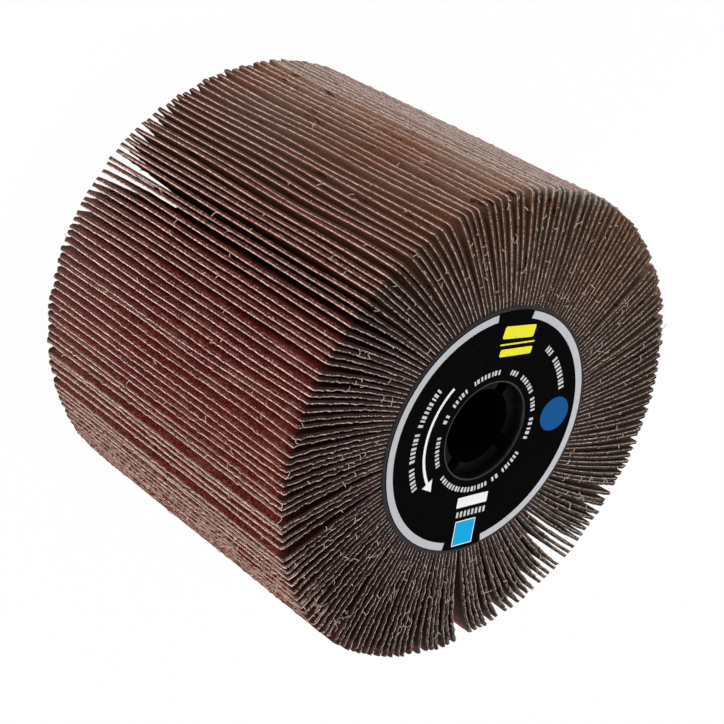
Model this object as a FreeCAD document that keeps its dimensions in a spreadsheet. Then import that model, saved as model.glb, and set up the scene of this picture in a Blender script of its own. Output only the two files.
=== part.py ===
import FreeCAD, Part

import math
import os
import random

import Sketcher
from FreeCAD import Vector

# Flap wheel: a keyed hub, a bonded ring, and a crown of leaning abrasive flaps between two flanges.
# Millimetres. The axis is +Z, and the origin is on it at the outer face of the rear flange.

doc = FreeCAD.newDocument("FlapWheel")
sheet = doc.addObject("Spreadsheet::Sheet", "sizes")

# Driving dimensions: alias, value and what it means
SIZES = [
    ("tip_diameter", 120, "over the flap tips"),
    ("flap_width", 96, "of a flap, along the axis"),
    ("flap_thickness", 0.82, "of the coated cloth"),
    ("flap_count", 180, "flaps round the wheel"),
    ("pack_size", 5, "neighbouring flaps in one pack"),
    ("root_gap", 0.02, "between two packed roots"),
    ("lean_stretch", 1.065, "width of a leaning root over the thickness of its sheet"),
    ("sweep", 8.0, "degrees that a tip stands ahead of its root"),
    ("sweep_ripple", 3.2, "degrees of that which come and go twice round the wheel"),
    ("sweep_drift", 1.1, "degrees of that which come and go once round the wheel"),
    ("sweep_peak", 45, "degrees round the wheel where the sweep is widest"),
    ("tip_scatter", 0.55, "share of the room between two tips that they stray by"),
    ("tip_trim", 0.3, "most that a tip stops short of the full radius"),
    ("parting_reach", 7, "degrees over which a parting pushes the tips aside"),
    ("hub_diameter", 34, "over the hub tube"),
    ("arbor_diameter", 19, "of the bore that runs on the arbor"),
    ("keyway_count", 4, "keyways in the bore"),
    ("keyway_width", 3.5, "of a keyway"),
    ("keyway_floor", 12.2, "from the axis to the floor of a keyway"),
    ("mouth_diameter", 24.9, "of the round mouth at each end"),
    ("mouth_depth", 2.1, "of the mouth in the end of the hub"),
    ("flange_diameter", 63.5, "over a flange"),
    ("flange_thickness", 0.6, "of a flange"),
    ("flange_edge", 0.25, "chamfer on the outer rim of a flange"),
    ("label_diameter", 61.7, "over the label"),
    ("label_rim", 0.4, "from the mouth to the label's inner edge"),
    ("label_thickness", 0.1, "of the label"),
]

# Where the flaps have parted: degrees round the wheel, and degrees of opening
PARTINGS = [
    (38.9, 2.4), (51.1, 1.7), (61.0, 0.6), (72.0, 0.6), (94.0, 0.8), (123.0, 1.0), (143.0, 0.9),
    (161.0, 1.0), (197.0, 0.8), (214.0, 0.6), (311.0, 1.1), (320.0, 1.6), (353.0, 1.2),
]

SCATTER_SEED = 11

for row, (alias, value, meaning) in enumerate(SIZES, start=1):
    sheet.set(f"A{row}", alias)
    sheet.set(f"B{row}", str(value))
    sheet.set(f"C{row}", meaning)
    sheet.setAlias(f"B{row}", alias)
doc.recompute()


def size(alias):
    return float(sheet.get(alias))


# Expressions that more than one piece uses
ROOT_RADIUS = (
    "sizes.flap_count * (sizes.flap_thickness * sizes.lean_stretch + sizes.root_gap) / (2 * pi)"
)
FLAP_START = "sizes.flange_thickness"
FLAP_END = "sizes.flange_thickness + sizes.flap_width"
FRONT_FACE = "2 * sizes.flange_thickness + sizes.flap_width"


# Building blocks

def newBody(label):
    body = doc.addObject("PartDesign::Body", label)
    body.Label = label
    return body


def newSketch(body, name, height):
    """A sketch across the axis, at a height given as an expression."""
    across = [plane for plane in body.Origin.OriginFeatures if plane.Role == "XY_Plane"][0]
    sketch = body.newObject("Sketcher::SketchObject", f"{body.Name}_{name}")
    sketch.AttachmentSupport = [(across, "")]
    sketch.MapMode = "FlatFace"
    sketch.setExpression("AttachmentOffset.Base.z", height)
    return sketch


def addCircle(sketch, name, radius):
    """A circle on the axis whose radius is bound to an expression."""
    value = float(sketch.evalExpression(radius))
    circle = sketch.addGeometry(Part.Circle(Vector(0, 0, 0), Vector(0, 0, 1), value))
    sketch.addConstraint(Sketcher.Constraint("Coincident", circle, 3, -1, 1))
    bound = sketch.addConstraint(Sketcher.Constraint("Radius", circle, value))
    sketch.renameConstraint(bound, name)
    sketch.setExpression(f"Constraints.{name}", radius)
    return circle


def addOutline(sketch, corners):
    """A closed outline of straight sides."""
    first = len(sketch.Geometry)
    count = len(corners)
    sides = [Part.LineSegment(corners[k], corners[(k + 1) % count]) for k in range(count)]
    sketch.addGeometry(sides)
    sketch.addConstraint([
        Sketcher.Constraint("Coincident", first + k, 2, first + (k + 1) % count, 1)
        for k in range(count)
    ])
    return first


def addPad(body, sketch, length):
    pad = body.newObject("PartDesign::Pad", f"{body.Name}_pad")
    pad.Profile = sketch
    pad.setExpression("Length", length)
    return pad


def addPocket(body, sketch, name, depth=None, upwards=False):
    """A pocket to a depth given as an expression, or right through without one."""
    pocket = body.newObject("PartDesign::Pocket", f"{body.Name}_{name}")
    pocket.Profile = sketch
    pocket.Reversed = upwards
    if depth is None:
        pocket.Type = "ThroughAll"
    else:
        pocket.setExpression("Length", depth)
    return pocket


# Hub

def makeHub():
    """A tube with a keyed arbor bore and a round mouth sunk in each end."""
    hub = newBody("hub_core")
    outside = newSketch(hub, "outside", FLAP_START)
    addCircle(outside, "hub_radius", "sizes.hub_diameter / 2")
    addPad(hub, outside, "sizes.flap_width")

    bore = newSketch(hub, "bore", FLAP_END)
    addCircle(bore, "arbor_radius", "sizes.arbor_diameter / 2")
    addPocket(hub, bore, "arbor_bore")

    frontMouth = newSketch(hub, "front_mouth", FLAP_END)
    addCircle(frontMouth, "mouth_radius", "sizes.mouth_diameter / 2")
    addPocket(hub, frontMouth, "front_mouth_pocket", "sizes.mouth_depth")

    rearMouth = newSketch(hub, "rear_mouth", FLAP_START)
    addCircle(rearMouth, "mouth_radius", "sizes.mouth_diameter / 2")
    addPocket(hub, rearMouth, "rear_mouth_pocket", "sizes.mouth_depth", upwards=True)

    keyway = newSketch(hub, "keyway", FLAP_END)
    reach = size("keyway_floor")
    half = size("keyway_width") / 2
    floor = addOutline(keyway, [
        Vector(reach, -half, 0), Vector(reach, half, 0), Vector(0, half, 0), Vector(0, -half, 0),
    ])
    floorSide, upperSide, axisSide = floor, floor + 1, floor + 2
    keyway.addConstraint(Sketcher.Constraint("Horizontal", upperSide))
    keyway.addConstraint(Sketcher.Constraint("PointOnObject", axisSide, 1, -2))
    keyway.addConstraint(Sketcher.Constraint("Symmetric", floorSide, 1, floorSide, 2, -1))
    keyway.addConstraint(Sketcher.Constraint("Symmetric", axisSide, 1, axisSide, 2, -1, 1))
    width = keyway.addConstraint(Sketcher.Constraint("Distance", floorSide, 2 * half))
    keyway.renameConstraint(width, "keyway_width")
    keyway.setExpression("Constraints.keyway_width", "sizes.keyway_width")
    depth = keyway.addConstraint(Sketcher.Constraint("DistanceX", -1, 1, floorSide, 1, reach))
    keyway.renameConstraint(depth, "keyway_floor")
    keyway.setExpression("Constraints.keyway_floor", "sizes.keyway_floor")
    cut = addPocket(hub, keyway, "keyway_pocket")

    around = hub.newObject("PartDesign::PolarPattern", "hub_core_keyways")
    around.Originals = [cut]
    around.Axis = (keyway, ["N_Axis"])
    around.Angle = 360
    around.setExpression("Occurrences", "sizes.keyway_count")
    hub.Tip = around
    return hub


# Ring that bonds the flap roots to the hub

def makeResinRing():
    ring = newBody("resin_ring")
    section = newSketch(ring, "section", FLAP_START)
    addCircle(section, "root_radius", ROOT_RADIUS)
    addCircle(section, "hub_radius", "sizes.hub_diameter / 2")
    addPad(ring, section, "sizes.flap_width")
    return ring


# Flanges and label

def makeFlange(label, height, outerHeight):
    """A flat disc over the flap roots, with its outer rim chamfered."""
    flange = newBody(label)
    section = newSketch(flange, "section", height)
    addCircle(section, "flange_radius", "sizes.flange_diameter / 2")
    addCircle(section, "mouth_radius", "sizes.mouth_diameter / 2")
    pad = addPad(flange, section, "sizes.flange_thickness")
    doc.recompute()
    rim = [
        f"Edge{number}" for number, edge in enumerate(pad.Shape.Edges, start=1)
        if isinstance(edge.Curve, Part.Circle)
        and math.isclose(edge.Curve.Radius, size("flange_diameter") / 2)
        and math.isclose(edge.Curve.Center.z, outerHeight, abs_tol=1e-6)
        and edge.isClosed()
    ]
    trimmed = flange.newObject("PartDesign::Chamfer", f"{label}_rim")
    trimmed.Base = (pad, rim)
    trimmed.setExpression("Size", "sizes.flange_edge")
    flange.Tip = trimmed
    return flange


def makeLabel():
    label = newBody("front_label")
    section = newSketch(label, "section", FRONT_FACE)
    addCircle(section, "label_radius", "sizes.label_diameter / 2")
    addCircle(section, "inner_radius", "sizes.mouth_diameter / 2 + sizes.label_rim")
    addPad(label, section, "sizes.label_thickness")
    return label


# Flaps: flat sheets that stand root to root on the ring and lean ahead towards their tips

def polar(radius, degrees):
    angle = math.radians(degrees)
    return Vector(radius * math.cos(angle), radius * math.sin(angle), 0)


def sweepAt(degrees):
    """How far the tip stands ahead of a root at this place round the wheel."""
    away = math.radians(degrees - size("sweep_peak"))
    return size("sweep") + size("sweep_ripple") * math.cos(2 * away) + size("sweep_drift") * math.cos(away)


def pushAt(degrees):
    """How far the partings nearby push a tip aside."""
    push = 0
    for place, opening in PARTINGS:
        away = (degrees - place + 180) % 360 - 180
        push += math.copysign(opening / 2, away) * math.exp(-abs(away) / size("parting_reach"))
    return push


def flapCorners(index, scatter):
    """The four corners of one flap's end, seen from the front."""
    pitch = 360 / size("flap_count")
    rootRadius = size("flap_count") * (
        size("flap_thickness") * size("lean_stretch") + size("root_gap")) / (2 * math.pi)
    tipRadius = size("tip_diameter") / 2
    tipRoom = pitch - math.degrees(size("flap_thickness") / tipRadius)

    rootAngle = index * pitch
    tipAngle = rootAngle + sweepAt(rootAngle)
    tipAngle += pushAt(tipAngle)
    tipAngle += scatter.uniform(-0.5, 0.5) * size("tip_scatter") * tipRoom
    root = polar(rootRadius, rootAngle)
    tip = polar(tipRadius - scatter.uniform(0, size("tip_trim")), tipAngle)

    along = (tip - root).normalize()
    across = Vector(-along.y, along.x, 0)
    tangent = polar(1, rootAngle + 90)
    halfTip = across * (size("flap_thickness") / 2)
    halfRoot = tangent * (size("flap_thickness") / 2 / tangent.dot(across))
    return [root - halfRoot, tip - halfTip, tip + halfTip, root + halfRoot]


def makeFlapPacks():
    """Packs of neighbouring flaps, each flap a solid of its own."""
    scatter = random.Random(SCATTER_SEED)
    flapCount = round(size("flap_count"))
    packSize = round(size("pack_size"))
    packs = []
    for start in range(0, flapCount, packSize):
        pack = newBody(f"flap_pack_{len(packs) + 1:02d}")
        ends = newSketch(pack, "ends", FLAP_START)
        for index in range(start, min(start + packSize, flapCount)):
            addOutline(ends, flapCorners(index, scatter))
        addPad(pack, ends, "sizes.flap_width")
        packs.append(pack)
    return packs


front = 2 * size("flange_thickness") + size("flap_width")
pieces = [
    makeHub(),
    makeResinRing(),
    makeFlange("rear_flange", "0", 0),
    makeFlange("front_flange", FLAP_END, front),
    makeLabel(),
]
pieces += makeFlapPacks()
doc.recompute()

# Every object must have worked out before anything is written
for item in doc.Objects:
    if "Invalid" in item.State or "Error" in item.State:
        raise RuntimeError(f"{item.Label} did not work out: {item.State}")
for piece in pieces:
    if piece.Shape.isNull() or not piece.Shape.isValid():
        raise RuntimeError(f"{piece.Label} has no valid shape")

os.makedirs("parts", exist_ok=True)
for piece in pieces:
    piece.Shape.exportStep(f"parts/{piece.Label}.step")
print(len(pieces), "pieces written, holding", sum(len(piece.Shape.Solids) for piece in pieces), "solids")
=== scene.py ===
import math
import random

import bmesh
import bpy
import numpy as np
from mathutils import Matrix, Vector


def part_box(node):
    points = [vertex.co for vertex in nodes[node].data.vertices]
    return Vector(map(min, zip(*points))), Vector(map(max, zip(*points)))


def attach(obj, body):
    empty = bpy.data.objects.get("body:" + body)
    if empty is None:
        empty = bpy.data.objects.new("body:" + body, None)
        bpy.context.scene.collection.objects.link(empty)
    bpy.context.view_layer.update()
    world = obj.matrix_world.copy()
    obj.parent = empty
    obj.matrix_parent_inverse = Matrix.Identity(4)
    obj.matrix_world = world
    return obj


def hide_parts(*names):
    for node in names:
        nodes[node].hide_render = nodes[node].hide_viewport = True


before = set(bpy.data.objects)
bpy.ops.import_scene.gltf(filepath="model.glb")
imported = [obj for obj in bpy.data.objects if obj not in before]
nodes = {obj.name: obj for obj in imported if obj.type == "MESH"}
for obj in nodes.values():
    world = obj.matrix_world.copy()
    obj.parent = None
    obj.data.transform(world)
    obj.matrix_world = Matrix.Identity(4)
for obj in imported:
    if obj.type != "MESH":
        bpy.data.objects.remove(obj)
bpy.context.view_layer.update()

# Flap wheel standing on its end, label up, axis on Z. Metres; mm turns millimetres into them.
mm = 0.001
scene = bpy.context.scene


# node helpers

def tint(red, green, blue):
    # a colour as it looks on a screen, 0 to 255, made linear for a shader
    def linear(value):
        value /= 255
        return value / 12.92 if value <= 0.04045 else ((value + 0.055) / 1.055) ** 2.4
    return (linear(red), linear(green), linear(blue), 1.0)


def addNode(tree, kind, inputs=None, **settings):
    node = tree.nodes.new(kind)
    for name, value in settings.items():
        setattr(node, name, value)
    for key, value in (inputs or {}).items():
        if hasattr(value, "is_output"):
            tree.links.new(value, node.inputs[key])
        else:
            node.inputs[key].default_value = value
    return node


def math2(tree, operation, first, second=0.0):
    return addNode(tree, "ShaderNodeMath", {0: first, 1: second}, operation=operation).outputs[0]


def mixColour(tree, factor, first, second):
    made = addNode(tree, "ShaderNodeMix", {0: factor, 6: first, 7: second}, data_type="RGBA")
    return made.outputs[2]


def layer(tree, colour, mask, over, share=1.0):
    # another colour laid over this one where the mask is, by at most this share
    if share != 1.0:
        mask = math2(tree, "MULTIPLY", mask, share)
    return mixColour(tree, mask, colour, over)


def mapRange(tree, value, low, high, toLow=0.0, toHigh=1.0):
    made = addNode(tree, "ShaderNodeMapRange", {0: value, 1: low, 2: high, 3: toLow, 4: toHigh},
                   interpolation_type="SMOOTHSTEP")
    return made.outputs[0]


def newGroup(name, inputs, outputs):
    tree = bpy.data.node_groups.new(name, "ShaderNodeTree")
    for label, kind, value in inputs:
        socket = tree.interface.new_socket(label, in_out="INPUT", socket_type=kind)
        if value is not None:
            socket.default_value = value
    for label, kind in outputs:
        tree.interface.new_socket(label, in_out="OUTPUT", socket_type=kind)
    start = tree.nodes.new("NodeGroupInput")
    finish = tree.nodes.new("NodeGroupOutput")
    return tree, start.outputs, finish.inputs


def useGroup(tree, group, **inputs):
    made = tree.nodes.new("ShaderNodeGroup")
    made.node_tree = group
    for name, value in inputs.items():
        if hasattr(value, "is_output"):
            tree.links.new(value, made.inputs[name])
        else:
            made.inputs[name].default_value = value
    return made.outputs


def newMaterial(name, **fixed):
    # fixed holds what is the same all over, set on the shader's own sockets
    material = bpy.data.materials.new(name)
    material.use_nodes = True
    tree = material.node_tree
    shader = tree.nodes["Principled BSDF"]
    for key, value in fixed.items():
        shader.inputs[key.replace("_", " ")].default_value = value
    place = addNode(tree, "ShaderNodeTexCoord").outputs["Object"]
    return material, tree, shader, place


def bumpInto(tree, shader, height, strength, distance):
    bump = addNode(tree, "ShaderNodeBump",
                   {"Strength": strength, "Distance": distance, "Height": height})
    tree.links.new(bump.outputs[0], shader.inputs["Normal"])


# shared effects, each a group with its own values in every material

def makeGritGroup():
    # abrasive grains: one cell each, with its own shade, and a few that glint
    tree, given, out = newGroup(
        "gritGrains",
        [("Place", "NodeSocketVector", None), ("Grains", "NodeSocketFloat", 4300.0),
         ("Glints", "NodeSocketFloat", 0.02)],
        [("Shade", "NodeSocketFloat"), ("Glint", "NodeSocketFloat"), ("Height", "NodeSocketFloat")])
    cells = addNode(tree, "ShaderNodeTexVoronoi", {"Vector": given["Place"], "Scale": given["Grains"]})
    parts = addNode(tree, "ShaderNodeSeparateColor", {0: cells.outputs["Color"]})
    clump = addNode(tree, "ShaderNodeTexNoise",
                    {"Vector": given["Place"], "Scale": math2(tree, "MULTIPLY", given["Grains"], 0.22),
                     "Detail": 3.0})
    shade = math2(tree, "POWER", parts.outputs[0], 2.2)
    shade = math2(tree, "MULTIPLY", shade, mapRange(tree, clump.outputs[0], 0.35, 0.65, 0.8, 1.12))
    glint = math2(tree, "GREATER_THAN", parts.outputs[1], math2(tree, "SUBTRACT", 1.0, given["Glints"]))
    height = math2(tree, "SUBTRACT", 1.0, cells.outputs["Distance"])
    tree.links.new(shade, out["Shade"])
    tree.links.new(glint, out["Glint"])
    tree.links.new(height, out["Height"])
    return tree


def makeWeaveGroup():
    # plain weave: warp and weft pass over and under each other
    tree, given, out = newGroup(
        "clothWeave",
        [("Sheet", "NodeSocketVector", None), ("Threads", "NodeSocketFloat", 2200.0)],
        [("Over", "NodeSocketFloat"), ("Height", "NodeSocketFloat")])
    split = addNode(tree, "ShaderNodeSeparateXYZ", {0: given["Sheet"]})
    waves = []
    for axis in (0, 1):
        turns = math2(tree, "MULTIPLY", split.outputs[axis], given["Threads"])
        waves.append(math2(tree, "SINE", math2(tree, "MULTIPLY", turns, math.pi)))
    crossing = math2(tree, "MULTIPLY", waves[0], waves[1])
    over = addNode(tree, "ShaderNodeMath", {0: crossing, 1: 0.5, 2: 0.5},
                   operation="MULTIPLY_ADD").outputs[0]
    fibre = addNode(tree, "ShaderNodeTexNoise",
                    {"Vector": given["Sheet"], "Scale": given["Threads"], "Detail": 2.0})
    height = math2(tree, "MULTIPLY", over, fibre.outputs[0])
    tree.links.new(over, out["Over"])
    tree.links.new(height, out["Height"])
    return tree


def makePatchGroup():
    # soft-edged patches: stains, dust, fading and rubbed spots
    tree, given, out = newGroup(
        "softPatches",
        [("Place", "NodeSocketVector", None), ("Patches", "NodeSocketFloat", 60.0),
         ("Level", "NodeSocketFloat", 0.6), ("Softness", "NodeSocketFloat", 0.06),
         ("Detail", "NodeSocketFloat", 4.0)],
        [("Mask", "NodeSocketFloat")])
    cloud = addNode(tree, "ShaderNodeTexNoise",
                    {"Vector": given["Place"], "Scale": given["Patches"], "Detail": given["Detail"],
                     "Roughness": 0.6})
    low = math2(tree, "SUBTRACT", given["Level"], given["Softness"])
    high = math2(tree, "ADD", given["Level"], given["Softness"])
    tree.links.new(mapRange(tree, cloud.outputs[0], low, high), out["Mask"])
    return tree


def makeAxisGroup():
    # distance from the wheel's axis
    tree, given, out = newGroup(
        "axisDistance", [("Place", "NodeSocketVector", None)], [("Radius", "NodeSocketFloat")])
    split = addNode(tree, "ShaderNodeSeparateXYZ", {0: given["Place"]})
    squares = [math2(tree, "MULTIPLY", split.outputs[axis], split.outputs[axis]) for axis in (0, 1)]
    tree.links.new(math2(tree, "SQRT", math2(tree, "ADD", *squares)), out["Radius"])
    return tree


gritGrains = makeGritGroup()
clothWeave = makeWeaveGroup()
softPatches = makePatchGroup()
axisDistance = makeAxisGroup()


def patches(tree, place, size, level, softness=0.06, detail=4.0):
    # size in metres is about how far apart the patches stand
    return useGroup(tree, softPatches, Place=place, Patches=1 / size, Level=level,
                    Softness=softness, Detail=detail)["Mask"]


# the coated cloth

flapShape = {
    "axialParts": 24,                       # quads along the sheet, away from its cut edges
    "reachCuts": (0.3, 0.6, 0.84, 0.955),   # shares of the reach
    "reachParts": (11, 11, 9, 4, 2),        # along an end edge, between those cuts
    "tipParts": 4,                          # of each axial part along the tip
    "grainShare": 0.68,                     # of the thickness
    "width": 96 * mm,
    "reach": 34.6 * mm,
    "waves": 0.22 * mm,                     # how far neighbours sway together
    "ownWave": 0.14 * mm,                   # how far each strays by itself
    "swayTurns": (2, 5, 9, 14, 20, 27),     # waves round the wheel that neighbours share
    "swayBends": (0.35, 0.9, 1.7),          # bends of those along the sheet
    "swayLevel": 3.2,                       # brings their sum down to about 1
    "ownBends": (0.5, 1.2, 2.4),
    "tipFray": 0.045 * mm,
    "tipDrift": 0.1 * mm,                   # how far a whole tip or end wanders
    "endFray": 0.07 * mm,
    "endDrift": 0.12 * mm,
    # shares of the reach over which the ends begin to fray, to find room beside each other, to creep
    "frayFrom": (0.2, 0.3),
    "roomFrom": (0.15, 0.55),
    "creepFrom": (0.13, 0.2),
    "strayMost": 0.11 * mm,                 # how far an end edge wanders towards its neighbour
    "tufts": (0.06, 0.3 * mm),              # share of the edge points, and how far they stand out
    "cornerRound": {"rear": (0.5 * mm, 1.7 * mm), "front": (0.1 * mm, 0.8 * mm)},
    "crept": (1.1 * mm, 0.25 * mm),         # how far each end has moved along, past the flange's rim
    "bow": 0.7 * mm,                        # how far the middle lags behind root and tip
    "bowScatter": 0.05 * mm,
    "curlAll": 0.1 * mm,
    "curlFrom": 0.72,                       # share of the reach
    # where the tips curl ahead more: degrees, spread, how far
    "curls": ((45, 20, 0.9 * mm), (240, 16, 0.35 * mm), (259, 8, -0.5 * mm)),
    "seed": 5,
}

clothLook = {
    "back": tint(206, 146, 108),
    "backOlive": tint(202, 180, 154),       # where it has faded, and painted light on the upper side
    "backShade": tint(122, 74, 52),         # of the darker flaps
    "backWeave": tint(70, 44, 34),
    "backMottle": tint(84, 50, 38),
    "backFleck": tint(178, 146, 124),
    "backStain": tint(40, 24, 19),
    # painted shade in the gaps along the ends
    "backEndShade": tint(42, 31, 27),
    "threadsPerMetre": 1500,
    # the dark of the coat, also laid towards the root as painted shade
    "grain": tint(36, 6, 5),
    "grainLight": tint(160, 50, 43),
    "grainGlint": tint(196, 138, 128),
    # dust, also laid towards the rear as painted light
    "grainDustAndLight": tint(140, 104, 96),
    "grainCaught": tint(178, 156, 136),     # dust held near the tips
    # painted shade in the gaps along the ends
    "grainEndShade": tint(20, 6, 5),
    "grainsPerMetre": 4600,
    "glintShare": 0.07,
    "bareTip": tint(184, 136, 120),         # cloth that the grain has come off
    "raggedScale": 900.0,
    "cut": tint(26, 8, 7),                  # the coat seen at a cut
    "cutLight": tint(70, 25, 20),
    "cutDeep": tint(22, 10, 8),
    "cutBrown": tint(62, 38, 29),
    "cutDust": tint(150, 134, 122),
    "cutGrey": tint(104, 98, 86),
    "tipEdge": tint(206, 158, 150),
    # the Grey tints: dust at the rims, and painted light on the upper side
    "tipEdgeGrey": tint(190, 178, 168),
    "tipEdgeWorn": tint(110, 58, 49),
    "endEdge": tint(192, 166, 160),
    "endEdgeGrey": tint(186, 168, 154),
    "endEdgeWorn": tint(40, 24, 21),
    "edgeBrown": tint(176, 142, 120),
    # painted light: tips paler to the rear and on the right
    "edgeRearLight": tint(222, 200, 192),
    "edgeRightLight": tint(232, 204, 190),
    "edgeSoil": tint(58, 46, 40),
    "settledDust": tint(176, 174, 172),
    "thread": tint(188, 164, 150),
    "threadDull": tint(164, 152, 138),
}

# directions from the axis towards which the wheel has aged in its own way, and along which light and
# shade are painted
sides = {
    "left": (-0.95, -0.3, 0),
    "right": (0.9, -0.43, 0),
    "endDarkening": (0.95, 0.3, 0),
    "upperLit": (-0.4, 0.9, 0),
    "parted": (0.6, 0.8, 0),
}


def flapShade(tree):
    # each flap's own shade, from 0 to 1
    return addNode(tree, "ShaderNodeAttribute", attribute_name="flapShade").outputs["Fac"]


def fromRearOf(tree):
    # distance along the sheet from its rear end
    sheet = addNode(tree, "ShaderNodeUVMap", uv_map="sheet").outputs[0]
    return addNode(tree, "ShaderNodeSeparateXYZ", {0: sheet}).outputs[0]


def fromEndOf(tree):
    # distance along the sheet from its nearer end
    alongSheet = fromRearOf(tree)
    return math2(tree, "MINIMUM", alongSheet, math2(tree, "SUBTRACT", flapShape["width"], alongSheet))


def fromTipOf(tree):
    # distance down the sheet from its tip
    sheet = addNode(tree, "ShaderNodeUVMap", uv_map="sheet").outputs[0]
    upSheet = addNode(tree, "ShaderNodeSeparateXYZ", {0: sheet}).outputs[1]
    return math2(tree, "SUBTRACT", flapShape["reach"], upSheet)


def outTo(tree, place, side, low, high, toLow=0.0, toHigh=1.0):
    # from toLow to toHigh as a spot lies from low to high out to one side of the axis
    out = addNode(tree, "ShaderNodeVectorMath", {0: place, 1: sides[side]}, operation="DOT_PRODUCT")
    return mapRange(tree, out.outputs["Value"], low, high, toLow, toHigh)


def leftRim(tree, place):
    return outTo(tree, place, "left", 54 * mm, 59.5 * mm)


def rightRim(tree, place):
    return outTo(tree, place, "right", 50 * mm, 59 * mm, 0, 0.9)


# painted light: the upper side is painted paler, where more light falls
def litUpperSide(tree, place):
    return outTo(tree, place, "upperLit", 15 * mm, 45 * mm, 0, 0.8)


def greyDust(tree, place, colour):
    settled = outTo(tree, place, "left", 56 * mm, 59.8 * mm)
    return layer(tree, colour, settled, clothLook["settledDust"], 0.5)


def raggedBand(tree, place, narrow, wide):
    # 1 in a band along the tip whose lower border is ragged, in runs a few millimetres long
    drawnOut = addNode(tree, "ShaderNodeMapping", {"Vector": place, "Scale": (1, 1, 0.25)})
    border = addNode(tree, "ShaderNodeTexNoise",
                     {"Vector": drawnOut.outputs[0], "Scale": clothLook["raggedScale"], "Detail": 2.0})
    bandWidth = mapRange(tree, border.outputs[0], 0.38, 0.62, narrow, wide)
    return math2(tree, "LESS_THAN", fromTipOf(tree), bandWidth)


def makeClothBack():
    look = clothLook
    material, tree, shader, place = newMaterial("clothBack", Roughness=0.9, Specular_IOR_Level=0.08)
    sheet = addNode(tree, "ShaderNodeUVMap", uv_map="sheet").outputs[0]
    weave = useGroup(tree, clothWeave, Sheet=sheet, Threads=look["threadsPerMetre"])
    # paler in faded patches and at the left rim, and painted light on the upper side
    shiftedTone = math2(tree, "MAXIMUM", outTo(tree, place, "left", 55 * mm, 59.5 * mm), litUpperSide(tree, place))
    shiftedTone = math2(tree, "MAXIMUM", patches(tree, place, 0.03, 0.56, 0.1), shiftedTone)
    colour = mixColour(tree, shiftedTone, look["back"], look["backOlive"])
    colour = layer(tree, colour, flapShade(tree), look["backShade"], 0.4)
    colour = layer(tree, colour, weave["Over"], look["backWeave"], 0.28)
    colour = layer(tree, colour, patches(tree, place, 0.0005, 0.52, 0.05, 2.0), look["backMottle"], 0.4)
    colour = layer(tree, colour, patches(tree, place, 0.00055, 0.66, 0.03, 1.0), look["backFleck"], 0.5)
    # stains, drawn out along the sheet and in other places on each flap
    ownPlace = addNode(tree, "ShaderNodeCombineXYZ", {2: math2(tree, "MULTIPLY", flapShade(tree), 0.4)})
    drawnOut = addNode(tree, "ShaderNodeMapping", {"Vector": place, "Scale": (1, 1, 0.35)})
    moved = addNode(tree, "ShaderNodeVectorMath", {0: drawnOut.outputs[0], 1: ownPlace.outputs[0]})
    stained = patches(tree, moved.outputs[0], 0.0032, 0.625, 0.02)
    colour = layer(tree, colour, stained, look["backStain"], 0.8)
    # painted shade: darker at the ends, in the gaps of the end faces, more on one side
    endDarkening = math2(tree, "SUBTRACT", 1.0, mapRange(tree, fromEndOf(tree), 0.8 * mm, 4 * mm))
    endDarkening = math2(tree, "MULTIPLY", endDarkening, outTo(tree, place, "endDarkening", -20 * mm, 30 * mm, 0.6, 0.92))
    colour = layer(tree, colour, endDarkening, look["backEndShade"])
    colour = greyDust(tree, place, colour)
    colour = layer(tree, colour, raggedBand(tree, place, 0.1 * mm, 0.5 * mm), look["tipEdge"], 0.6)
    tree.links.new(colour, shader.inputs["Base Color"])
    bumpInto(tree, shader, weave["Height"], 0.5, 0.1 * mm)
    return material


def ageGrainFace(tree, place, colour):
    look = clothLook
    # dust caught in the coat near the tips of one side
    caught = math2(tree, "MULTIPLY", mapRange(tree, fromTipOf(tree), 0.2 * mm, 1.2 * mm, 0.8, 0),
                   outTo(tree, place, "right", 57.5 * mm, 60 * mm, 0, 0.9))
    caught = math2(tree, "MULTIPLY", caught, patches(tree, place, 0.0016, 0.52, 0.06, 3.0))
    colour = layer(tree, colour, caught, look["grainCaught"])
    # the coat has come off the cloth along the very tip
    colour = layer(tree, colour, raggedBand(tree, place, -0.6 * mm, 0.14 * mm), look["bareTip"], 0.65)
    # painted shade: darker towards the root, deep between the flaps, and along the two ends, in the gaps
    # of the end faces
    deepShade = mapRange(tree, fromTipOf(tree), 1.5 * mm, 8 * mm, 0, 0.3)
    colour = layer(tree, colour, deepShade, look["grain"])
    endDarkening = mapRange(tree, fromEndOf(tree), 0.5 * mm, 3.5 * mm, 0.8, 0)
    return layer(tree, colour, endDarkening, look["grainEndShade"])


def ageCutGrain(tree, place, colour):
    look = clothLook
    browned = mapRange(tree, fromTipOf(tree), 0.15 * mm, 0.5 * mm, 0, 0.92)
    colour = layer(tree, colour, browned, look["cutDeep"])
    colour = layer(tree, colour, outTo(tree, place, "left", 26 * mm, 42 * mm), look["cutBrown"], 0.9)
    dusted = math2(tree, "MAXIMUM", leftRim(tree, place),
                   math2(tree, "MULTIPLY", rightRim(tree, place), 0.6))
    dusted = math2(tree, "MULTIPLY", dusted, patches(tree, place, 0.0007, 0.47, 0.08, 2.0))
    colour = layer(tree, colour, dusted, look["cutDust"])
    # the ends on the side that has parted most are grey right across
    greyed = math2(tree, "MULTIPLY", outTo(tree, place, "parted", 24 * mm, 52 * mm, 0, 0.7),
                   patches(tree, place, 0.0014, 0.52, 0.05, 3.0))
    return layer(tree, colour, greyed, look["cutGrey"])


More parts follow.
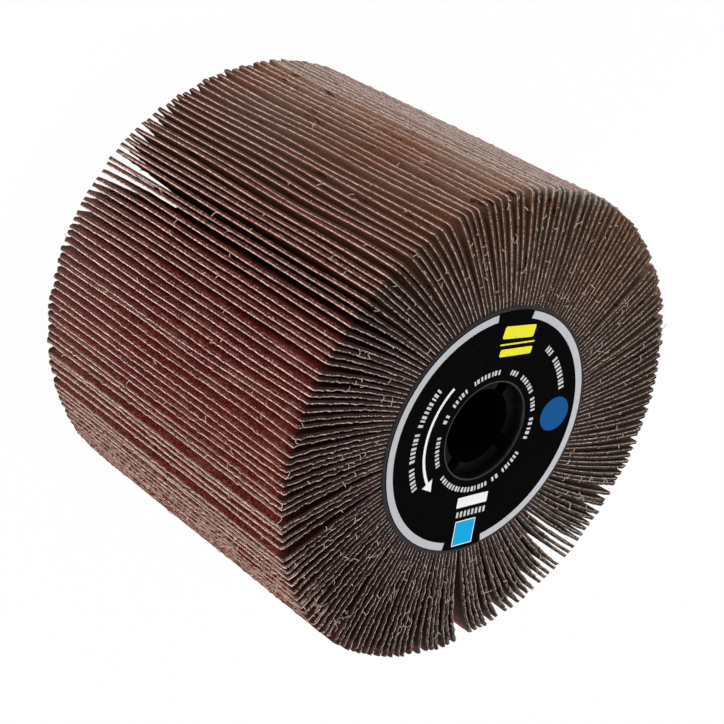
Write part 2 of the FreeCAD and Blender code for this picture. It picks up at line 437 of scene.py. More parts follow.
def makeGrainCoat(name, dark, light, age):
    # the grain coat, as its open face or as the section that shows at a cut
    look = clothLook
    material, tree, shader, place = newMaterial(name, Roughness=0.6, Specular_IOR_Level=0.12)
    grit = useGroup(tree, gritGrains, Place=place, Grains=look["grainsPerMetre"],
                    Glints=look["glintShare"])
    colour = mixColour(tree, grit["Shade"], dark, light)
    colour = layer(tree, colour, grit["Glint"], look["grainGlint"], 0.5)
    # paler with dust in patches, and painted light towards the rear
    dustAndRearLight = math2(tree, "MULTIPLY", patches(tree, place, 0.008, 0.6, 0.08), 0.15)
    dustAndRearLight = math2(tree, "MAXIMUM", dustAndRearLight, mapRange(tree, fromRearOf(tree), 8 * mm, 45 * mm, 0.14, 0))
    colour = layer(tree, colour, dustAndRearLight, look["grainDustAndLight"])
    tree.links.new(age(tree, place, colour), shader.inputs["Base Color"])
    bumpInto(tree, shader, grit["Height"], 0.8, 0.15 * mm)
    return material


def makeClothEdge(name, fibreShare, fibreLevel):
    # cut edge of the cloth: pale fibres, rubbed dark in places
    look = clothLook
    clean, greyedAndLit, worn = look[name], look[name + "Grey"], look[name + "Worn"]
    material, tree, shader, place = newMaterial(name, Roughness=0.9, Specular_IOR_Level=0.1)
    colour = layer(tree, clean, outTo(tree, place, "left", 38 * mm, 50 * mm), look["edgeBrown"], 0.7)
    # greyer with dust at the rims, and painted light on the upper side
    dusted = math2(tree, "MAXIMUM", leftRim(tree, place), rightRim(tree, place))
    shiftedTone = math2(tree, "MULTIPLY", patches(tree, place, 0.05, 0.5, 0.15, 2.0), 0.4)
    shiftedTone = math2(tree, "MAXIMUM", shiftedTone, litUpperSide(tree, place))
    colour = layer(tree, colour, math2(tree, "MAXIMUM", dusted, shiftedTone), greyedAndLit)
    # painted light: paler to the rear and on the right, where more light falls
    rearLight = mapRange(tree, fromRearOf(tree), 10 * mm, 55 * mm, 0.6, 0)
    colour = layer(tree, colour, rearLight, look["edgeRearLight"])
    colour = layer(tree, colour, rightRim(tree, place), look["edgeRightLight"], 0.7)
    fibres = patches(tree, place, 0.00045, fibreLevel, 0.07, 1.0)
    colour = layer(tree, colour, fibres, worn, fibreShare)
    colour = layer(tree, colour, patches(tree, place, 0.005, 0.6, 0.06), worn, 0.5)
    colour = layer(tree, colour, flapShade(tree), worn, 0.3)
    # soiled at the rear end
    endDarkening = mapRange(tree, fromRearOf(tree), 0.5 * mm, 4 * mm, 0.7, 0)
    colour = layer(tree, colour, endDarkening, look["edgeSoil"])
    colour = greyDust(tree, place, colour)
    tree.links.new(colour, shader.inputs["Base Color"])
    bumpInto(tree, shader, fibres, 0.6, 0.1 * mm)
    return material


def makeThreadLook():
    material, tree, shader, place = newMaterial("strayThread", Roughness=0.85, Specular_IOR_Level=0.2)
    dulled = patches(tree, place, 0.01, 0.5, 0.1)
    colour = mixColour(tree, dulled, clothLook["thread"], clothLook["threadDull"])
    tree.links.new(colour, shader.inputs["Base Color"])
    return material


clothBack = makeClothBack()
grainFace = makeGrainCoat("grainFace", clothLook["grain"], clothLook["grainLight"], ageGrainFace)
cutGrain = makeGrainCoat("cutGrain", clothLook["cut"], clothLook["cutLight"], ageCutGrain)
tipEdge = makeClothEdge("tipEdge", 0.75, 0.52)
endEdge = makeClothEdge("endEdge", 0.88, 0.525)
strayThread = makeThreadLook()
flapMaterials = [clothBack, grainFace, tipEdge, endEdge, cutGrain]
print("materials of the cloth: done")


# one flap, as a template: x runs along the axis, y from root to tip, z from grain to cloth

def bisect(bm, point, normal):
    geometry = bm.verts[:] + bm.edges[:] + bm.faces[:]
    bmesh.ops.bisect_plane(bm, geom=geometry, dist=1e-6, plane_co=point, plane_no=normal)


def edgesAlong(bm, axis, keep):
    # edges that run along one axis and whose two ends both pass the test
    found = []
    for edge in bm.edges:
        one, other = edge.verts[0].co, edge.verts[1].co
        straight = all(abs(one[i] - other[i]) < 1e-5 for i in range(3) if i != axis)
        if straight and keep(one) and keep(other):
            found.append(edge)
    return found


def makeFlapTemplate():
    bm = bmesh.new()
    bmesh.ops.create_cube(bm, size=1)
    bmesh.ops.translate(bm, verts=bm.verts, vec=(0.5, 0.5, 0.5))
    bmesh.ops.subdivide_edges(bm, edges=edgesAlong(bm, 0, lambda co: True),
                              cuts=flapShape["axialParts"] - 1, use_grid_fill=True)
    for share in flapShape["reachCuts"]:
        bisect(bm, (0, share, 0), (0, 1, 0))
    bisect(bm, (0, 0, flapShape["grainShare"]), (0, 0, 1))

    tipBand = flapShape["reachCuts"][-1]
    bmesh.ops.subdivide_edges(bm, edges=edgesAlong(bm, 0, lambda co: co.y > tipBand - 1e-4),
                              cuts=flapShape["tipParts"] - 1, use_grid_fill=True)
    levels = (0,) + flapShape["reachCuts"] + (1,)
    for low, high, parts in zip(levels, levels[1:], flapShape["reachParts"]):
        def onEnd(co):
            return (co.x < 1e-5 or co.x > 1 - 1e-5) and low - 1e-4 < co.y < high + 1e-4
        bmesh.ops.subdivide_edges(bm, edges=edgesAlong(bm, 1, onEnd), cuts=parts - 1,
                                  use_grid_fill=True)

    sheet = bm.loops.layers.uv.new("sheet")
    for face in bm.faces:
        middle = face.calc_center_median()
        if middle.z > 1 - 1e-4:
            face.material_index = 0
        elif middle.z < 1e-4:
            face.material_index = 1
        elif middle.z < flapShape["grainShare"]:
            face.material_index = 4
        else:
            face.material_index = 2 if middle.y > 0.999 or middle.y < 0.001 else 3
        face.smooth = face.material_index < 2
        for loop in face.loops:
            co = loop.vert.co
            loop[sheet].uv = (co.x * flapShape["width"], co.y * flapShape["reach"])
    for edge in bm.edges:
        kinds = {face.material_index for face in edge.link_faces}
        edge.smooth = len(kinds) == 1
    mesh = bpy.data.meshes.new("flapTemplate")
    bm.to_mesh(mesh)
    bm.free()
    return mesh


template = makeFlapTemplate()
spot = np.zeros(len(template.vertices) * 3)
template.vertices.foreach_get("co", spot)
spot = spot.reshape(-1, 3)
alongAxis, reach, depth = spot[:, 0], spot[:, 1], spot[:, 2]
axialStep = np.unique(alongAxis.round(5), return_inverse=True)[1]
reachStep = np.unique(reach.round(5), return_inverse=True)[1]
print("flap template:", len(template.vertices), "vertices,", len(template.polygons), "faces")


def smoothStep(value, low, high):
    share = np.clip((value - low) / (high - low), 0, 1)
    return share * share * (3 - 2 * share)


# sway that neighbours share, so that they stay clear of each other

swayTerms = []
swayRandom = random.Random(flapShape["seed"])
for turns in flapShape["swayTurns"]:
    for bends in flapShape["swayBends"]:
        swayTerms.append((turns, bends, swayRandom.uniform(0, 6.3), swayRandom.uniform(0.4, 1)))


def sway(angle, along):
    total = 0
    for turns, bends, phase, share in swayTerms:
        total = total + share * np.sin(turns * angle + 2 * math.pi * bends * along + phase)
    return total / flapShape["swayLevel"]


def islandsOf(bm):
    # the separate flaps in a pack's CAD mesh
    left = set(bm.verts)
    found = []
    while left:
        front = [left.pop()]
        island = []
        while front:
            vert = front.pop()
            island.append(vert)
            for edge in vert.link_edges:
                other = edge.other_vert(vert)
                if other in left:
                    left.remove(other)
                    front.append(other)
        found.append([vert.co.copy() for vert in island])
    return found


def cornersOf(island):
    # plan corners of a flap (grain root, cloth root, grain tip, cloth tip) and its two ends
    low = min(co.z for co in island)
    high = max(co.z for co in island)
    plan = sorted((co.to_2d() for co in island if co.z < (low + high) / 2), key=lambda co: co.length)
    root, tip = plan[:2], plan[2:]
    for pair in (root, tip):
        if pair[0].cross(pair[1]) < 0:
            pair.reverse()
    return root + tip, low, high


def raggedLine(dice, step, fray):
    # roughness along a cut edge, with a tuft here and there
    count = step.max() + 1
    line = dice.normal(0, fray, count)
    share, height = flapShape["tufts"]
    tufted = dice.uniform(0, 1, count) < share
    line[tufted] = dice.uniform(0.4, 1, tufted.sum()) * height
    return line[step]


def layFlap(corners, low, high, dice):
    # the template's vertices laid on one CAD flap, swayed, frayed and rounded at its corners
    rootGrain, rootCloth, tipGrain, tipCloth = (np.array(corner) for corner in corners)
    ahead = tipGrain - rootGrain
    length = np.linalg.norm(ahead)
    ahead = ahead / length
    across = np.array((-ahead[1], ahead[0]))
    angle = math.atan2(tipGrain[1], tipGrain[0])
    width = high - low
    spec = flapShape

    # rounded tip corners
    fromTip = (1 - reach) * length
    fromEnd = np.minimum(alongAxis, 1 - alongAxis) * width
    side = np.where(alongAxis > 0.5, 1.0, -1.0)
    rounding = spec["cornerRound"]
    radius = np.where(side > 0, dice.uniform(*rounding["front"]), dice.uniform(*rounding["rear"]))
    inTip = np.clip(radius - fromTip, 0, None)
    inEnd = np.clip(radius - fromEnd, 0, None)
    outside = np.hypot(inTip, inEnd)
    cornered = (inTip > 0) & (inEnd > 0) & (outside > radius)
    shrink = np.where(cornered, 1 - radius / np.maximum(outside, 1e-9), 0)
    forward = -inTip * shrink
    upward = -side * inEnd * shrink

    # sway and bow, growing towards the tip
    loose = reach ** 1.5
    sideways = spec["waves"] * sway(angle, alongAxis) * loose
    for bends in spec["ownBends"]:
        sideways = sideways + spec["ownWave"] / bends ** 0.5 * dice.uniform(0.2, 1) * loose * np.sin(
            2 * math.pi * bends * alongAxis + dice.uniform(0, 6.3))
    sideways = sideways + (dice.normal(0, spec["bowScatter"]) - spec["bow"]) * 4 * reach * (1 - reach)
    curl = spec["curlAll"]
    for place, spread, size in spec["curls"]:
        away = (math.degrees(angle) - place + 180) % 360 - 180
        curl += size * math.exp(-(away / spread) ** 2)
    sideways = sideways + curl * np.clip((reach - spec["curlFrom"]) / (1 - spec["curlFrom"]), 0, 1) ** 2

    # frayed tip: cloth fibres stand out, the grain coat has chipped back
    atTip = smoothStep(reach, spec["reachCuts"][-1], 1)
    onCloth = depth > spec["grainShare"] - 1e-4
    ragged = raggedLine(dice, axialStep, spec["tipFray"])
    chipped = np.abs(dice.normal(0, spec["tipFray"], axialStep.max() + 1))[axialStep]
    drift = spec["tipDrift"] * np.sin(2 * math.pi * 1.3 * alongAxis + dice.uniform(0, 6.3))
    forward = forward + atTip * (drift + np.where(onCloth, ragged, -0.6 * chipped))
    sideways = sideways + atTip * np.where(depth > 0.99, 0.5 * chipped, 0.25 * ragged)

    # frayed ends, kept off the flanges
    atEnd = (fromEnd < 1e-5) * smoothStep(reach, *spec["frayFrom"])
    ragged = raggedLine(dice, reachStep, spec["endFray"])
    drift = spec["endDrift"] * np.sin(2 * math.pi * 0.9 * reach + dice.uniform(0, 6.3))
    upward = upward + side * atEnd * (drift + np.where(onCloth, ragged, -0.5 * spec["endFray"]))
    strayed = np.clip(ragged, -spec["strayMost"], spec["strayMost"])
    roomy = smoothStep(reach, *spec["roomFrom"])     # the sheets stand closest at their roots
    sideways = sideways + atEnd * roomy * np.where(depth > 0.99, 0.9, 0.7) * strayed
    rearCrept, frontCrept = spec["crept"]
    crept = rearCrept + (frontCrept - rearCrept) * alongAxis
    upward = upward + crept * smoothStep(reach, *spec["creepFrom"])

    root = rootGrain + depth[:, None] * (rootCloth - rootGrain)
    tip = tipGrain + depth[:, None] * (tipCloth - tipGrain)
    plan = root + reach[:, None] * (tip - root)
    plan = plan + forward[:, None] * ahead + sideways[:, None] * across
    height = low + alongAxis * width + upward
    laid = np.column_stack((plan, height))
    return laid, np.append(ahead, 0), np.append(across, 0)


def addPiece(name, mesh, materials=(), replaces=()):
    for material in materials:
        mesh.materials.append(material)
    piece = bpy.data.objects.new(name, mesh)
    scene.collection.objects.link(piece)
    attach(piece, "root")
    if replaces:
        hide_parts(*replaces)
    return piece


def angleOf(island):
    return math.atan2(sum(co.y for co in island), sum(co.x for co in island)) % (2 * math.pi)


def makeFlaps():
    dice = np.random.default_rng(flapShape["seed"])
    perFlap = len(template.vertices)
    laidFlaps = []
    for node in sorted(name for name in nodes if name.startswith("flap_pack_")):
        source = bmesh.new()
        source.from_mesh(nodes[node].data)
        bmesh.ops.remove_doubles(source, verts=source.verts, dist=1e-6)
        islands = islandsOf(source)
        source.free()
        islands.sort(key=angleOf)
        pack = bmesh.new()
        laid = []
        for island in islands:
            pack.from_mesh(template)
            laid.append(layFlap(*cornersOf(island), dice))
        mesh = bpy.data.meshes.new(node + "_cloth")
        pack.to_mesh(mesh)
        pack.free()
        mesh.vertices.foreach_set("co", np.concatenate([flap[0] for flap in laid]).ravel())
        shades = mesh.attributes.new("flapShade", "FLOAT", "POINT")
        shades.data.foreach_set("value", np.repeat(dice.uniform(0, 1, len(laid)), perFlap))
        mesh.update()
        addPiece(node + "_cloth", mesh, flapMaterials, [node])
        laidFlaps += laid
    return laidFlaps


laidFlaps = makeFlaps()
print("flaps:", len(laidFlaps))


# stray threads at the cut edges

threadShape = {
    "atTips": 240,
    "atEnds": 330,
    "radius": 0.085 * mm,
    "length": (0.4 * mm, 1.9 * mm),
    "bend": 0.25,
    "rise": 0.2 * mm,              # how high the middle of a thread arches
    "sunk": 0.25 * mm,             # how deep its foot sits
    "stand": 0.3 * mm,             # how far it then stands off
    "frontShare": 0.85,            # of the threads at the ends
    "freeReach": 0.25,             # share of the reach that they keep clear of
    # on the front end: degrees, millimetres from the axis, threads
    "tangles": ((340.6, 56.8, 5), (344, 57, 3), (350, 56, 6), (351.5, 53.4, 4), (3.7, 43, 3),
                (15, 51.5, 3)),
    "tangleSize": 0.8 * mm,
    "tangleLength": (0.6 * mm, 2.2 * mm),
    "tangleFineness": 0.7,         # of the radius
    "seed": 23,
}


def addThread(curve, foot, heading, bend, length, outward, fineness=1.0):
    points = [foot]
    for share in (0.25, 0.6, 1.0):
        away = threadShape["stand"] + threadShape["rise"] * (1 - (2 * share - 1) ** 2)
        points.append(foot + (heading * share + bend * share * share) * length + outward * away)
    line = curve.splines.new("POLY")
    line.points.add(len(points) - 1)
    for point, co in zip(line.points, points):
        point.co = (*co, 1)
        point.radius = fineness


def makeThreads():
    dice = random.Random(threadShape["seed"])
    curve = bpy.data.curves.new("strayThreads", "CURVE")
    curve.dimensions = "3D"
    curve.bevel_depth = threadShape["radius"]
    curve.bevel_resolution = 0
    curve.use_fill_caps = True
    tipRow = [i for i in range(len(spot)) if reach[i] > 0.999 and depth[i] > 0.99]
    free = [i for i in range(len(spot)) if depth[i] > 0.99 and reach[i] > threadShape["freeReach"]]
    endRow = [i for i in free if alongAxis[i] > 0.999]
    farRow = [i for i in free if alongAxis[i] < 0.001]
    up = Vector((0, 0, 1))
    for number in range(threadShape["atTips"] + threadShape["atEnds"]):
        laid, ahead, across = dice.choice(laidFlaps)
        ahead, across = Vector(ahead), Vector(across)
        length = dice.uniform(*threadShape["length"])
        if number < threadShape["atTips"]:
            start = Vector(laid[dice.choice(tipRow)])
            outward, along = ahead, up
        else:
            atFront = dice.random() < threadShape["frontShare"]
            start = Vector(laid[dice.choice(endRow if atFront else farRow)])
            outward, along = (up if atFront else -up), ahead
        heading = across * dice.choice((-1, 1)) * dice.uniform(0.2, 1) + along * dice.uniform(-1, 1)
        heading.normalize()
        bend = (along * dice.uniform(-1, 1) + across * dice.uniform(-1, 1)) * threadShape["bend"]
        foot = start - outward * threadShape["sunk"] - across * 0.1 * mm
        addThread(curve, foot, heading, bend, length, outward)
    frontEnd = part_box("front_flange")[0].z
    for degrees, radius, count in threadShape["tangles"]:
        middle = Matrix.Rotation(math.radians(degrees), 3, "Z") @ Vector((radius * mm, 0, 0))
        for _ in range(count):
            drift = Vector((dice.uniform(-1, 1), dice.uniform(-1, 1), 0)) * threadShape["tangleSize"]
            heading = Matrix.Rotation(dice.uniform(0, 2 * math.pi), 3, "Z") @ Vector((1, 0, 0))
            bend = Matrix.Rotation(dice.choice((-1, 1)) * math.pi / 2, 3, "Z") @ heading
            bend *= dice.uniform(0.2, 0.9)
            foot = middle + drift + up * (frontEnd + dice.uniform(0, 0.2) * mm)
            addThread(curve, foot, heading, bend, dice.uniform(*threadShape["tangleLength"]), up,
                      threadShape["tangleFineness"])
    holder = bpy.data.objects.new("threadCurve", curve)
    scene.collection.objects.link(holder)
    bpy.context.view_layer.update()
    mesh = bpy.data.meshes.new_from_object(holder.evaluated_get(bpy.context.evaluated_depsgraph_get()))
    bpy.data.objects.remove(holder)
    mesh.name = "stray_threads"
    mesh.materials.clear()
    addPiece("stray_threads", mesh, [strayThread])


makeThreads()
print("stray threads: done")


# flanges, hub and resin

endLook = {
    "lacquer": tint(24, 23, 24),
    "lacquerDust": tint(92, 84, 78),
    "steel": tint(66, 67, 72),
    "steelWithin": 12.6 * mm,   # bare steel shows round the mouth
    "plastic": tint(5, 6, 8),
    "plasticScuff": tint(16, 17, 19),
    "resin": tint(52, 30, 18),
    "resinPale": tint(84, 52, 30),
    "film": tint(5, 5, 5),
    "filmDust": tint(52, 48, 47),
}


def makeFlangeLook():
    material, tree, shader, place = newMaterial("flangeLacquer", Specular_IOR_Level=0.16)
    radius = useGroup(tree, axisDistance, Place=place)["Radius"]
    bare = math2(tree, "LESS_THAN", radius, endLook["steelWithin"])
    dust = patches(tree, place, 0.0009, 0.66, 0.05, 2.0)
    colour = layer(tree, endLook["lacquer"], dust, endLook["lacquerDust"], 0.35)
    colour = layer(tree, colour, bare, endLook["steel"])
    tree.links.new(colour, shader.inputs["Base Color"])
    tree.links.new(bare, shader.inputs["Metallic"])
    smears = patches(tree, place, 0.012, 0.5, 0.2)
    tree.links.new(mapRange(tree, smears, 0, 1, 0.34, 0.5), shader.inputs["Roughness"])
    peel = addNode(tree, "ShaderNodeTexNoise", {"Vector": place, "Scale": 900.0, "Detail": 2.0})
    bumpInto(tree, shader, peel.outputs[0], 0.12, 0.1 * mm)
    return material


def makeHubLook():
    material, tree, shader, place = newMaterial("hubPlastic", Specular_IOR_Level=0.05)
    scuffs = patches(tree, place, 0.004, 0.62, 0.08)
    colour = layer(tree, endLook["plastic"], scuffs, endLook["plasticScuff"], 0.3)
    tree.links.new(colour, shader.inputs["Base Color"])
    tree.links.new(mapRange(tree, scuffs, 0, 1, 0.42, 0.6), shader.inputs["Roughness"])
    skin = addNode(tree, "ShaderNodeTexNoise", {"Vector": place, "Scale": 2500.0, "Detail": 3.0})
    bumpInto(tree, shader, skin.outputs[0], 0.1, 0.05 * mm)
    return material


def makeResinLook():
    material, tree, shader, place = newMaterial("bondingResin")
    cloudy = patches(tree, place, 0.01, 0.5, 0.15)
    colour = mixColour(tree, cloudy, endLook["resin"], endLook["resinPale"])
    tree.links.new(colour, shader.inputs["Base Color"])
    tree.links.new(mapRange(tree, cloudy, 0, 1, 0.3, 0.55), shader.inputs["Roughness"])
    pits = addNode(tree, "ShaderNodeTexNoise", {"Vector": place, "Scale": 700.0, "Detail": 4.0})
    bumpInto(tree, shader, pits.outputs[0], 0.3, 0.2 * mm)
    return material


def makeLabelFilm():
    material, tree, shader, place = newMaterial("labelFilm", Specular_IOR_Level=0.005)
    dust = patches(tree, place, 0.0007, 0.69, 0.04, 2.0)
    colour = layer(tree, endLook["film"], dust, endLook["filmDust"], 0.3)
    tree.links.new(colour, shader.inputs["Base Color"])
    smears = patches(tree, place, 0.015, 0.5, 0.2)
    tree.links.new(mapRange(tree, smears, 0, 1, 0.3, 0.42), shader.inputs["Roughness"])
    ripple = addNode(tree, "ShaderNodeTexNoise", {"Vector": place, "Scale": 120.0, "Detail": 2.0})
    bumpInto(tree, shader, ripple.outputs[0], 0.05, 0.2 * mm)
    return material


def dress(name, material):
    for slot in nodes[name].material_slots:
        slot.material = material


dish = {
    "depth": 0.8 * mm,      # at the mouth of the hub
    "inner": 12.45 * mm,
    "outer": 31.0 * mm,
    "above": 90 * mm,       # only what lies higher than this is drawn in
    "sharpFrom": 25,        # degrees between two faces
}


def dishDepth(co):
    # how far the front end is drawn in at a spot, less and less towards the rim
    share = (dish["outer"] - co.to_2d().length) / (dish["outer"] - dish["inner"])
    return dish["depth"] * min(1, max(0, share))


def addDished(name, material):
    # a merged copy of a CAD node, with its front drawn in
    bm = bmesh.new()
    bm.from_mesh(nodes[name].data)
    bmesh.ops.remove_doubles(bm, verts=bm.verts, dist=1e-6)
    for vert in bm.verts:
        if vert.co.z > dish["above"]:
            vert.co.z -= dishDepth(vert.co)
    for face in bm.faces:
        face.smooth = True
    for edge in bm.edges:
        edge.smooth = edge.calc_face_angle(0) < math.radians(dish["sharpFrom"])
    mesh = bpy.data.meshes.new(name + "_dished")
    bm.to_mesh(mesh)
    bm.free()
    mesh.attributes.remove(mesh.attributes["custom_normal"])    # they belong to the loose triangles
    mesh.materials.clear()
    addPiece(name + "_dished", mesh, [material], [name])


flangeLacquer = makeFlangeLook()
addDished("front_flange", flangeLacquer)
dress("rear_flange", flangeLacquer)
addDished("hub_core", makeHubLook())
dress("resin_ring", makeResinLook())
addDished("front_label", makeLabelFilm())
print("flanges, hub and resin: dressed")


# print on the label: plain bars, bands and fields of colour, each a thin raised shape

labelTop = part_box("front_label")[1].z
printShape = {
    "sunk": 0.04 * mm,
    "raised": 0.03 * mm,
    "stepDegrees": 2.5,
    "tickPitch": 1.15,      # millimetres along the row
    "tickShares": (0.5, 0.65, 0.4, 0.6, 0.55),
    "wornInk": tint(20, 20, 22),
}


def printHeights():
    return labelTop - printShape["sunk"], labelTop + printShape["raised"]


def addBand(bm, middle, height, start, end):
    # a bar that follows the label round, from one angle to another
    low, high = printHeights()
    quad = bmesh.ops.create_grid(bm, x_segments=1, y_segments=1, size=0.5)["verts"]
    bmesh.ops.scale(bm, verts=quad, vec=(height * mm, high - low, 1))
    bmesh.ops.rotate(bm, verts=quad, matrix=Matrix.Rotation(math.pi / 2, 3, "X"))
    bmesh.ops.translate(bm, verts=quad, vec=(middle * mm, 0, (low + high) / 2))
    bmesh.ops.rotate(bm, verts=quad, matrix=Matrix.Rotation(math.radians(start), 3, "Z"))
    face = quad[0].link_faces[0]
    steps = max(1, math.ceil((end - start) / printShape["stepDegrees"]))
    bmesh.ops.spin(bm, geom=[face] + face.edges[:] + face.verts[:], cent=(0, 0, 0), axis=(0, 0, 1),
                   dvec=(0, 0, 0), angle=math.radians(end - start), steps=steps, use_duplicate=False)


def addBar(bm, place, length, height, turn, rounding=0.0):
    # a straight bar; place in millimetres from the axis, turn in degrees
    low, high = printHeights()
    cube = bmesh.ops.create_cube(bm, size=1)["verts"]
    bmesh.ops.scale(bm, verts=cube, vec=(length * mm, height * mm, high - low))
    if rounding:
        upright = {edge for vert in cube for edge in vert.link_edges
                   if abs(edge.verts[0].co.z - edge.verts[1].co.z) > 1e-7}
        made = bmesh.ops.bevel(bm, geom=list(upright), offset=rounding * mm, segments=3,
                               profile=0.5, affect="EDGES", material=-1)
        cube = list({vert for vert in cube if vert.is_valid} | set(made["verts"]))
    bmesh.ops.rotate(bm, verts=cube, matrix=Matrix.Rotation(math.radians(turn), 3, "Z"))
    bmesh.ops.translate(bm, verts=cube, vec=(place[0] * mm, place[1] * mm, (low + high) / 2))


def addDisc(bm, place, radius, segments=48, turn=0.0):
    low, high = printHeights()
    disc = bmesh.ops.create_circle(bm, cap_ends=True, segments=segments, radius=radius * mm)["verts"]
    bmesh.ops.rotate(bm, verts=disc, matrix=Matrix.Rotation(math.radians(turn), 3, "Z"))
    bmesh.ops.translate(bm, verts=disc, vec=(place[0] * mm, place[1] * mm, low))
    face = disc[0].link_faces[0]
    raised = bmesh.ops.extrude_face_region(bm, geom=[face])["geom"]
    bmesh.ops.translate(bm, verts=[item for item in raised if isinstance(item, bmesh.types.BMVert)],
                        vec=(0, 0, high - low))


def polarPlace(radius, degrees):
    return radius * math.cos(math.radians(degrees)), radius * math.sin(math.radians(degrees))


def makeInk(name, colour):
    material, tree, shader, place = newMaterial(name, Roughness=0.45, Specular_IOR_Level=0.06)
    specks = patches(tree, place, 0.0005, 0.64, 0.05, 2.0)
    shiftedTone = mixColour(tree, 0.22, colour, printShape["wornInk"])
    tree.links.new(mixColour(tree, specks, colour, shiftedTone), shader.inputs["Base Color"])
    bumpInto(tree, shader, specks, 0.1, 0.02 * mm)
    return material


def addPrint(name, colour, shapes):
    bm = bmesh.new()
    for shape, values in shapes:
        shape(bm, **values)
    for vert in bm.verts:
        vert.co.z -= dishDepth(vert.co)
    bmesh.ops.recalc_face_normals(bm, faces=bm.faces)
    mesh = bpy.data.meshes.new(name)
    bm.to_mesh(mesh)
    bm.free()
    addPiece(name, mesh, [makeInk(name + "_ink", colour)])


def ticks(middle, height, start, spans, gap):
    # rows of short ticks of the given lengths in degrees, one row after another
    made = []
    pitch = math.degrees(printShape["tickPitch"] / middle)
    for span in spans:
        count = max(1, round(span / pitch))
        for number in range(count):
            begin = start + number * span / count
            inked = printShape["tickShares"][number % len(printShape["tickShares"])] * span / count
            made.append((addBand, dict(middle=middle, height=height, start=begin, end=begin + inked)))
        start += span + gap
    return made


# places in millimetres from the axis and degrees round it
labelPrint = {
    "silver": tint(190, 191, 196),
    "blue": tint(8, 80, 140),
    "paleBlue": tint(14, 165, 222),
    "white": tint(240, 240, 240),
    "textWhite": tint(205, 205, 207),
    "yellow": tint(236, 232, 52),
    "ring": {"middle": 29.78, "height": 1.9, "gaps": ((18, 42), (198, 220))},
    "disc": {"place": polarPlace(22.7, 122.9), "radius": 4.5},
    "square": {"place": polarPlace(26.5, 29.9), "side": 6.2, "outline": 0.22, "turn": 30.7},
    "plate": {"place": polarPlace(18.2, 32.7), "length": 9.9, "height": 2.7, "turn": 120.7},
    "arrow": {"middle": 19.2, "width": 0.8, "start": 257, "end": 336, "head": 2.0},
    # rows of ticks: middle, height, start, spans, gap
    "rows": (
        (23.0, 1.6, 264.3, (24.8, 19.4, 17.6), 3.0),
        (24.1, 1.6, 139.3, (24.5, 8), 4.0),
        (15.1, 1.25, -18.4, (68, 9, 24.3), 4.3),
        (15.1, 1.25, 103.3, (23, 16, 27.1, 12.1), 5.2),
        (15.1, 1.25, 209, (33, 20.5, 10), 6.5),
        (15.1, 1.25, 296.6, (33.4,), 0),
    ),
    "straightRow": {"place": polarPlace(21.4, 32.8), "turn": 121, "count": 8, "pitch": 1.25,
                    "length": 0.65, "height": 1.5},
    "yellowBars": (
        dict(place=(-23.3, -9.9), length=10.2, height=3.2, turn=117, rounding=0.5),
        dict(place=(-20.9, -8.2), length=11.2, height=0.4, turn=119),
        dict(place=(-19.1, -6.9), length=10.4, height=1.9, turn=119, rounding=0.4),
    ),
}


def moved(place, distance, degrees):
    shift = polarPlace(distance, degrees)
    return place[0] + shift[0], place[1] + shift[1]


ring = labelPrint["ring"]
(firstOpen, firstClose), (nextOpen, nextClose) = ring["gaps"]
addPrint("label_ring", labelPrint["silver"], [
    (addBand, dict(middle=ring["middle"], height=ring["height"], start=firstClose, end=nextOpen)),
    (addBand, dict(middle=ring["middle"], height=ring["height"], start=nextClose, end=firstOpen + 360)),
])
addPrint("label_disc", labelPrint["blue"], [(addDisc, labelPrint["disc"])])

square = labelPrint["square"]
side = square["side"]
addPrint("label_square", labelPrint["paleBlue"], [
    (addBar, dict(place=square["place"], length=side, height=side, turn=square["turn"])),
])

whiteShapes = []
for quarter in range(4):
    turn = square["turn"] + 90 * quarter
    edgePlace = moved(square["place"], side / 2 + square["outline"] / 2, turn)
    whiteShapes.append((addBar, dict(place=edgePlace, length=square["outline"],
                                     height=side + 2 * square["outline"], turn=turn)))
plate = labelPrint["plate"]
arrow = labelPrint["arrow"]
whiteShapes += [
    (addBar, plate),
    (addBand, dict(middle=arrow["middle"], height=arrow["width"], start=arrow["start"],
                   end=arrow["end"])),
    (addDisc, dict(place=polarPlace(arrow["middle"], arrow["end"] + 1), radius=arrow["head"],
                   segments=3, turn=arrow["end"])),
]
addPrint("label_white_shapes", labelPrint["white"], whiteShapes)

textTicks = []
for row in labelPrint["rows"]:
    textTicks += ticks(*row)
straight = labelPrint["straightRow"]
for number in range(straight["count"]):
    offset = straight["pitch"] * (number - (straight["count"] - 1) / 2)
    tickPlace = moved(straight["place"], offset, straight["turn"])
    textTicks.append((addBar, dict(place=tickPlace, length=straight["length"],
                                   height=straight["height"], turn=straight["turn"])))
addPrint("label_text_ticks", labelPrint["textWhite"], textTicks)
addPrint("label_yellow_bars", labelPrint["yellow"], [(addBar, bar) for bar in labelPrint["yellowBars"]])
print("label print: done")


# floor, light and camera

stageShape = {
    "floorSize": 6.0,
    "floorGap": 0.02 * mm,  # below the face the wheel stands on
    "floorGrey": 0.9,
    "shadowShare": 0.03,    # how much of the floor's own shading the camera sees
    "worldStrength": 0.42,
    "lampTarget": (0, 0, 50 * mm),
}


def seenWhite(tree):
    # 1 for rays from the camera, off gloss and through glass
    rays = addNode(tree, "ShaderNodeLightPath").outputs
    return math2(tree, "MAXIMUM", rays["Is Camera Ray"],
                 math2(tree, "MAXIMUM", rays["Is Glossy Ray"], rays["Is Transmission Ray"]))


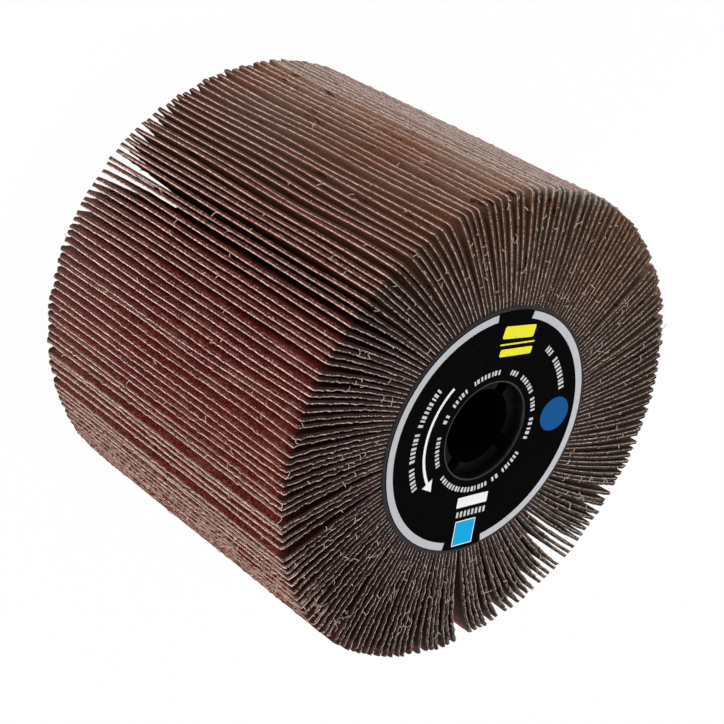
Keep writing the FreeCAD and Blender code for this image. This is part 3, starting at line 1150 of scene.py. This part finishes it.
def makeFloor():
    bm = bmesh.new()
    bmesh.ops.create_grid(bm, x_segments=1, y_segments=1, size=stageShape["floorSize"] / 2)
    bmesh.ops.translate(bm, verts=bm.verts, vec=(0, 0, -stageShape["floorGap"]))
    mesh = bpy.data.meshes.new("floor")
    bm.to_mesh(mesh)
    bm.free()
    floor = bpy.data.objects.new("floor", mesh)
    scene.collection.objects.link(floor)
    material = bpy.data.materials.new("paleFloor")
    material.use_nodes = True
    tree = material.node_tree
    tree.nodes.remove(tree.nodes["Principled BSDF"])
    output = tree.nodes["Material Output"]
    matt = addNode(tree, "ShaderNodeBsdfDiffuse", {"Color": (stageShape["floorGrey"],) * 3 + (1,)})
    white = addNode(tree, "ShaderNodeEmission", {"Color": (1, 1, 1, 1), "Strength": 1.0})
    share = math2(tree, "MULTIPLY", seenWhite(tree), 1 - stageShape["shadowShare"])
    mixed = addNode(tree, "ShaderNodeMixShader", {0: share, 1: matt.outputs[0], 2: white.outputs[0]})
    tree.links.new(mixed.outputs[0], output.inputs["Surface"])
    mesh.materials.append(material)


def makeWorld():
    world = bpy.data.worlds.new("studio")
    scene.world = world
    world.use_nodes = True
    tree = world.node_tree
    soft = tree.nodes["Background"]
    soft.inputs["Color"].default_value = (1, 1, 1, 1)
    soft.inputs["Strength"].default_value = stageShape["worldStrength"]
    white = addNode(tree, "ShaderNodeBackground", {"Color": (1, 1, 1, 1), "Strength": 1.0})
    mixed = addNode(tree, "ShaderNodeMixShader",
                    {0: seenWhite(tree), 1: soft.outputs[0], 2: white.outputs[0]})
    tree.links.new(mixed.outputs[0], tree.nodes["World Output"].inputs["Surface"])


lamps = {
    "leftLight": {"place": (-2.2, -0.8, 0.27), "size": 0.45, "power": 30.0},
    "keyLight": {"place": (-0.35, -2.1, 0.3), "size": 0.5, "power": 17.0},
    "rightLight": {"place": (2.2, -0.95, 0.27), "size": 0.45, "power": 58.0},
    "topLight": {"place": (0, 0.2, 2.2), "size": 0.4, "power": 20.0},
}


def makeLamps():
    target = Vector(stageShape["lampTarget"])
    for name, values in lamps.items():
        data = bpy.data.lights.new(name, "AREA")
        data.size = values["size"]
        data.energy = values["power"]
        lamp = bpy.data.objects.new(name, data)
        lamp.location = values["place"]
        lamp.rotation_euler = (target - lamp.location).to_track_quat("-Z", "Y").to_euler()
        scene.collection.objects.link(lamp)


photoView = {
    "lens": 90.5,
    "sensor": 36,
    "nearest": 0.01,
    "place": (0, -0.34062, 0.34684),
    "turn": (-31.925, -39.732, 133.962),
}


def makeCamera():
    data = bpy.data.cameras.new("photoView")
    data.lens = photoView["lens"]
    data.sensor_width = photoView["sensor"]
    data.clip_start = photoView["nearest"]
    camera = bpy.data.objects.new("photoView", data)
    camera.location = photoView["place"]
    camera.rotation_euler = [math.radians(turn) for turn in photoView["turn"]]
    scene.collection.objects.link(camera)
    scene.camera = camera


makeFloor()
makeWorld()
makeLamps()
makeCamera()
scene.view_settings.view_transform = "Standard"
print("floor, light and camera: done")

bpy.data.meshes.remove(template)
